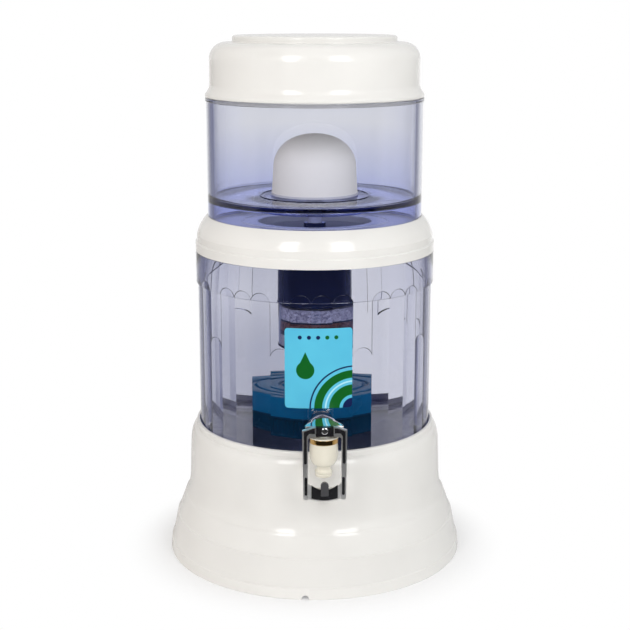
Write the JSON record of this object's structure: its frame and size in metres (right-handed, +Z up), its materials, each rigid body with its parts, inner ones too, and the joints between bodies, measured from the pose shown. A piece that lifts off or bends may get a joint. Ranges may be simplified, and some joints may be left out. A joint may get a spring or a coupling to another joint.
{
  "type": "gravity water filter",
  "caption": "Countertop gravity water filter: a clear upper tank drips through a ceramic dome and a layered cartridge into a fluted lower tank with a push-back tap, on a flared base.",
  "frame": {"origin": "centre of the base on the surface it stands on", "axes": "+Z up; the tap points along -Y and +X is to its right as seen from the front"},
  "size_m": [0.3004, 0.3078, 0.52],
  "materials": {
    "white_plastic": "gloss, warm white",
    "smoke_clear": "clear, thick, faint lavender-grey",
    "blue_tint_clear": "clear, faint blue",
    "label_print": "printed film",
    "tap_chrome": "bright plating on plastic",
    "black_plastic": "gloss",
    "screw_steel": "bright",
    "black_rubber": "matt",
    "ivory_plastic": "satin gloss",
    "gold_ring": "polished",
    "silicone": "translucent matt",
    "grey_plastic": "satin",
    "blue_clear": "translucent blue",
    "stone": "matt",
    "ceramic": "matt, fine pores",
    "navy_plastic": "gloss",
    "housing_clear": "clear",
    "silica": "fine grains",
    "felt": "pressed fibre",
    "granules": "coarse grains",
    "carbon": "fine grains",
    "sand": "fine grains"
  },
  "bodies": {
    "base": {"base_drum": "white_plastic", "base_foot": "white_plastic", "base_shelf": "white_plastic", "shelf_gussets": "white_plastic"},
    "lower_tank": {"lower_tank": "smoke_clear", "front_label": "label_print", "tap_body": "tap_chrome", "tap_hood": "tap_chrome", "tap_nose": "black_plastic", "tap_screw": "screw_steel", "outer_washer": "black_rubber", "inner_washer": "black_rubber", "tail_nut": "white_plastic", "tap_spout": "ivory_plastic", "spout_ring": "gold_ring", "lever_pins": "screw_steel", "valve_diaphragm": "silicone", "valve_spring": "screw_steel"},
    "tap_lever": {"tap_lever": "tap_chrome", "lever_inlays": "black_plastic", "paddle_pad": "black_plastic", "paddle_rib": "grey_plastic"},
    "tap_valve": {"valve_stem": "ivory_plastic", "valve_seal": "silicone"},
    "mineral_pot": {"pot_basket": "blue_clear", "pot_lid": "blue_clear", "mineral_stones": "stone"},
    "collar": {"collar": "white_plastic"},
    "upper_tank": {"upper_tank": "blue_tint_clear", "ceramic_dome": "ceramic", "dome_base": "white_plastic", "dome_washer": "silicone", "stem_washer": "silicone", "stem_nut": "navy_plastic", "cartridge_cap": "navy_plastic", "cartridge_housing": "housing_clear", "cartridge_foot": "grey_plastic", "media_silica": "silica", "media_pad_upper": "felt", "media_mineral": "granules", "media_pad_lower": "felt", "media_carbon": "carbon", "media_sand": "sand"},
    "lid": {"lid": "white_plastic"}
  },
  "joints": [
    {"name": "lower_tank_lift", "type": "slide", "parent": "base", "child": "lower_tank", "axis": [0, 0, 1], "range_m": [0, 0.05]},
    {"name": "collar_lift", "type": "slide", "parent": "lower_tank", "child": "collar", "axis": [0, 0, 1], "range_m": [0, 0.04]},
    {"name": "upper_tank_lift", "type": "slide", "parent": "collar", "child": "upper_tank", "axis": [0, 0, 1], "range_m": [0, 0.14]},
    {"name": "lid_lift", "type": "slide", "parent": "upper_tank", "child": "lid", "axis": [0, 0, 1], "range_m": [0, 0.08]},
    {"name": "pot_lift", "type": "slide", "parent": "lower_tank", "child": "mineral_pot", "axis": [0, 0, 1], "range_m": [0, 0.035]},
    {"name": "lever_push", "type": "hinge", "parent": "lower_tank", "child": "tap_lever", "pos_m": [0, -0.149, 0.1674], "axis": [1, 0, 0], "range_deg": [0, 12], "stiffness_Nm_per_rad": 0.3, "springref_deg": -17.19},
    {"name": "valve_lift", "type": "slide", "parent": "lower_tank", "child": "tap_valve", "axis": [0, 0, 1], "range_m": [0, 0.0016], "deforming": ["valve_spring"]}
  ],
  "couplings": [
    {"joint": "valve_lift", "follows": "lever_push", "m_per_rad": 0.0075}
  ]
}
